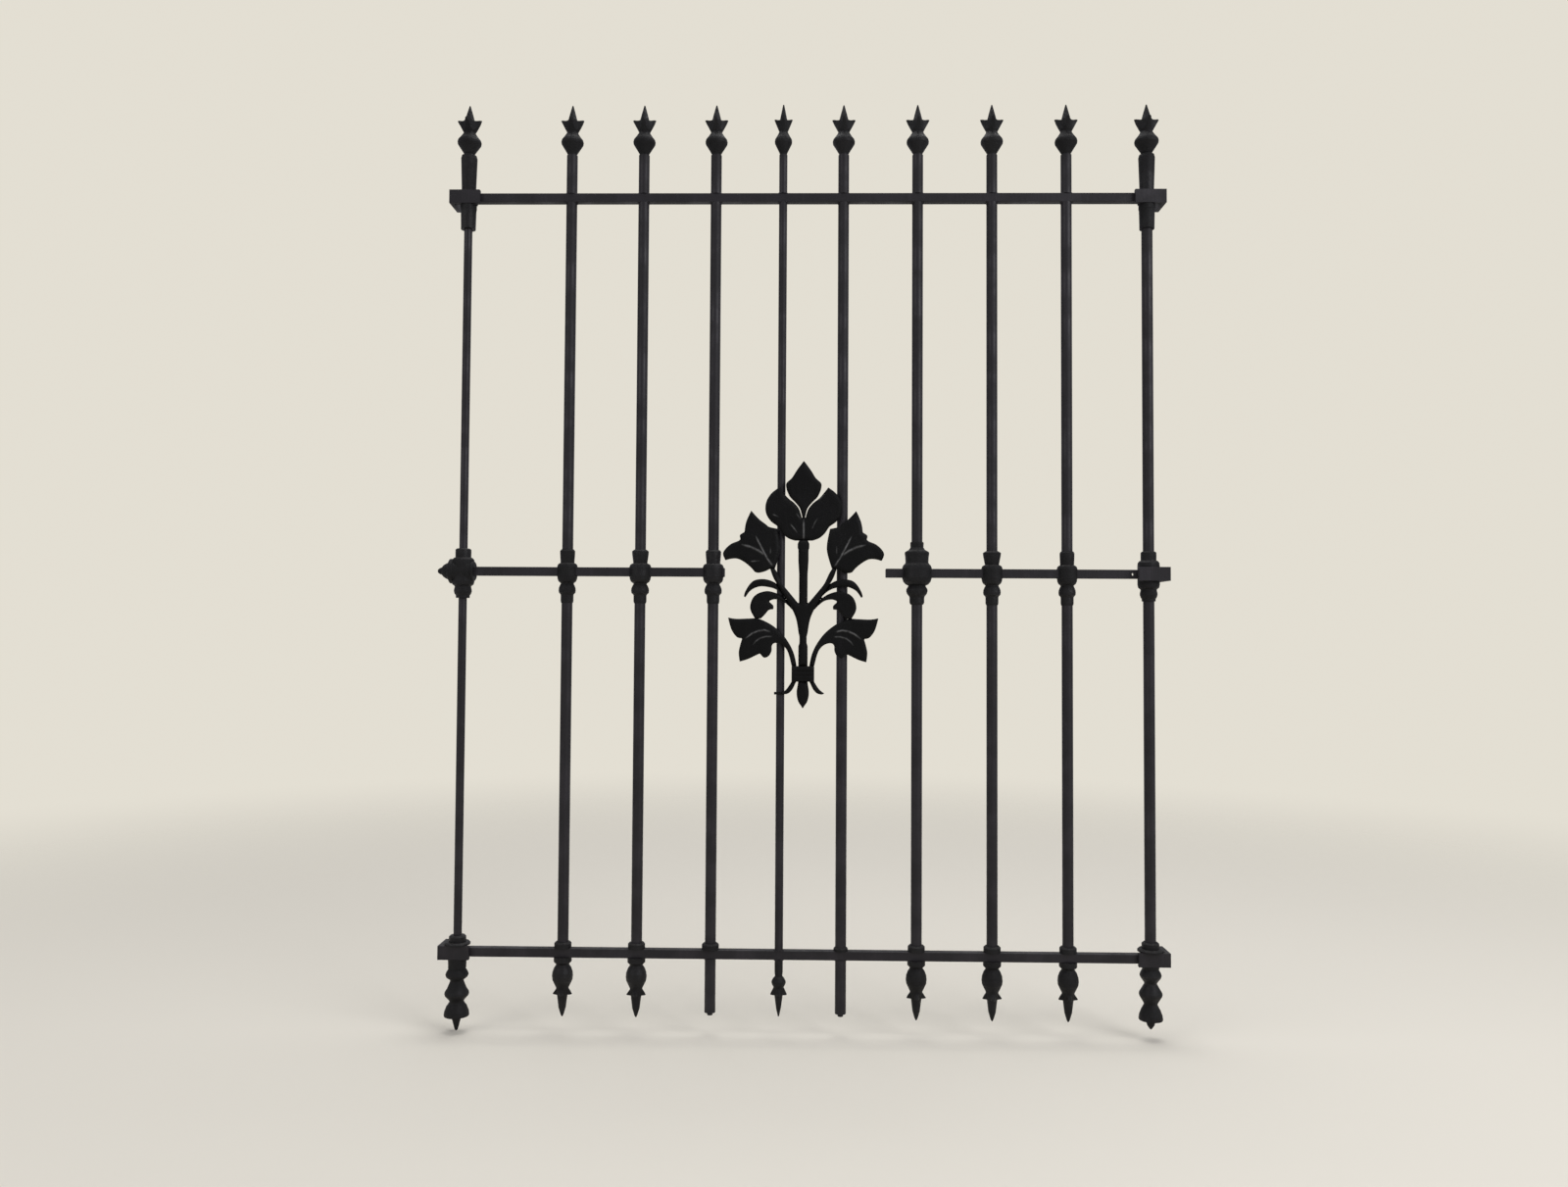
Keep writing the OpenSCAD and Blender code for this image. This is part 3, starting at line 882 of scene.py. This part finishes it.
@dataclass
class Ornament:
    """The spray of flowers and leaves in the middle of the grille."""

    finishes: Finishes
    flower_veins: tuple[Vein, ...] = (
        Vein(((46, 208), (53, 218), (60, 231), (70, 250.5)), 1.0),
        Vein(((58, 224), (66, 229.5), (78, 235), (90, 238)), 1.3, 0.75),
        Vein(((48.3, 225), (48.3, 236)), 0.8, 0.4),
    )
    left_flower_notch: Vein = Vein(((-77, 213.5), (-64, 214.5)), 0.8, 0.6)
    leaf_veins: tuple[Vein, ...] = (
        Vein(((49, 111.5), (57, 113.5), (66, 112), (75, 108), (84, 101)), 1.0, 0.85),
        Vein(((46, 104), (54, 104), (63, 101.5), (69, 97), (73, 92)), 0.9, 0.5),
    )
    seam: Vein = Vein(((0, 247.5), (0, 275.5)), 1.1)
    left_petal_veins: tuple[Vein, ...] = (
        Vein(((-45, 282.5), (-37, 279)), 0.8, 0.6),
        Vein(((-19, 268), (-14, 262), (-9.5, 256)), 0.8, 0.7),
        Vein(((-10.5, 283.5), (-4.5, 276)), 0.9, 0.6),
    )
    right_petal_veins: tuple[Vein, ...] = (
        Vein(((21.5, 304), (30, 312)), 0.9, 0.7),
        Vein(((12.5, 262), (16, 270), (20, 277)), 0.8, 0.4),
    )

    def side_plate(self, side: str, part: str, veins: tuple[Vein, ...]) -> Relief:
        """Makes the relief of a flower or leaf at one side.

        Args:
            side: left or right.
            part: the rest of the node's name.
            veins: its veins, drawn on the right.

        Returns:
            The relief.
        """
        if side == "left":
            veins = tuple(vein.mirrored() for vein in veins)
            if part == "flower":
                veins += (self.left_flower_notch,)
        return Relief(f"{side}_{part}", veins=veins)

    def build(self) -> None:
        """Models every plate of the ornament."""
        low, high = box_of("ornament_stem")
        origin = Vector(((low.x + high.x) / 2, 0.0, low.z))
        petals = (self.seam, *self.left_petal_veins, *self.right_petal_veins)
        plates = [
            Relief("ornament_stem", edge=0.4, crown=6.0, voxel=0.6),
            Relief("top_flower", veins=petals, voxel=0.5),
            Relief("foot_scrolls", edge=0.45, crown=3.0, voxel=0.5),
            Relief("tie_band", edge=0.75, crown=4.0, voxel=0.6, ribbed=0.07),
        ]
        for side in ("left", "right"):
            plates += [
                self.side_plate(side, "flower", self.flower_veins),
                self.side_plate(side, "low_leaf", self.leaf_veins),
                Relief(f"{side}_curled_leaf", crown=5.0, voxel=0.6),
            ]
        for plate in plates:
            plate.build(origin, self.finishes.ornament)


# ---- studio ----


@dataclass(frozen=True)
class Lamp:
    """A square soft lamp aimed at the middle of the grille, with its power in watts."""

    name: str
    place: Spot
    size: float
    power: float
    colour: Colour

    def hang(self) -> None:
        """Adds the lamp to the scene."""
        data = bpy.data.lights.new(self.name, "AREA")
        data.shape = "SQUARE"
        data.size = self.size
        data.energy = self.power
        data.color = self.colour
        lamp = bpy.data.objects.new(self.name, data)
        bpy.context.scene.collection.objects.link(lamp)
        middle = (Vector(CAD_BOX[0]) + Vector(CAD_BOX[1])) / 2
        lamp.location = self.place
        lamp.rotation_euler = (middle - Vector(self.place)).to_track_quat("-Z", "Y").to_euler()


@dataclass
class Studio:
    """Plain pale ground, soft lamps and the camera in front of the grille.

    The camera's turns are in degrees; its lens and sensor are in millimetres.
    """

    ground: Colour = (0.77, 0.735, 0.65)
    sky_light: Colour = (0.39, 0.39, 0.41)
    ground_middle: Point = (0.5, 0.0)
    ground_radius: float = 4.0
    ground_sides: int = 96
    ground_gap: float = 2 * MM
    lamps: tuple[Lamp, ...] = (
        Lamp("key_light", (3.1, -2.2, 1.9), 2.0, 56.0, (0.97, 0.97, 1.0)),
        Lamp("fill_light", (-2.4, -2.6, 1.8), 2.2, 26.0, (1.0, 0.985, 0.96)),
        Lamp("top_light", (0.6, 0.3, 3.6), 2.6, 62.0, (1.0, 1.0, 1.0)),
    )
    eye: Spot = (0.530, -1.770, 0.466)
    yaw: float = 1.034
    pitch: float = 1.988
    roll: float = 0.330
    lens: float = 27.135
    sensor: float = 36.0
    nearest: float = 0.05

    def lay_ground(self) -> None:
        """Makes the round floor under the lowest tip."""
        mesh = bmesh.new()
        bmesh.ops.create_circle(
            mesh, cap_ends=True, segments=self.ground_sides, radius=self.ground_radius
        )
        made = bpy.data.meshes.new("ground")
        mesh.to_mesh(made)
        mesh.free()
        middle = (*self.ground_middle, CAD_BOX[0][2] - self.ground_gap)
        made.transform(Matrix.Translation(middle))
        floor = bpy.data.objects.new("ground", made)
        bpy.context.scene.collection.objects.link(floor)
        made.materials.append(PlainBackdrop("pale_ground", self.ground, middle).make())

    def set_world(self) -> None:
        """Sets the sky: the pale backdrop to the camera, and dimmer neutral light to the rest."""
        world = bpy.data.worlds.new("studio")
        bpy.context.scene.world = world
        world.use_nodes = True
        tree = world.node_tree
        light, backdrop = tree.nodes["Background"], tree.nodes.new("ShaderNodeBackground")
        light.inputs["Color"].default_value = (*self.sky_light, 1.0)
        backdrop.inputs["Color"].default_value = (*self.ground, 1.0)
        path = tree.nodes.new("ShaderNodeLightPath")
        seen = tree.nodes.new("ShaderNodeMixShader")
        tree.links.new(path.outputs["Is Camera Ray"], seen.inputs[0])
        tree.links.new(light.outputs[0], seen.inputs[1])
        tree.links.new(backdrop.outputs[0], seen.inputs[2])
        tree.links.new(seen.outputs[0], tree.nodes["World Output"].inputs["Surface"])

    def set_camera(self) -> None:
        """Stands the camera where the grille is seen from."""
        data = bpy.data.cameras.new("camera")
        data.sensor_fit = "HORIZONTAL"
        data.sensor_width = self.sensor
        data.lens = self.lens
        data.clip_start = self.nearest
        camera = bpy.data.objects.new("camera", data)
        bpy.context.scene.collection.objects.link(camera)
        turn = Euler((math.radians(90 + self.pitch), 0.0, math.radians(self.yaw)), "XYZ")
        tilt = Matrix.Rotation(math.radians(self.roll), 4, "Z")
        camera.matrix_world = Matrix.Translation(self.eye) @ turn.to_matrix().to_4x4() @ tilt
        bpy.context.scene.camera = camera

    def build(self) -> None:
        """Sets up the ground, lamps, sky and camera."""
        bpy.context.scene.view_settings.view_transform = "Standard"
        self.lay_ground()
        self.set_world()
        for lamp in self.lamps:
            lamp.hang()
        self.set_camera()
        LOG.info("studio: ground, %d lamps, sky and camera are set", len(self.lamps))


def main() -> None:
    """Builds the grille's looks and the studio."""
    logging.basicConfig(level=logging.INFO, format="%(name)s %(message)s")
    finishes = Finishes()
    Bars(finishes).dress()
    Brackets(finishes).dress()
    Castings(finishes).dress()
    Ornament(finishes).build()
    WeldBeads(finishes).build()
    Studio().build()


if __name__ == "__main__":
    main()
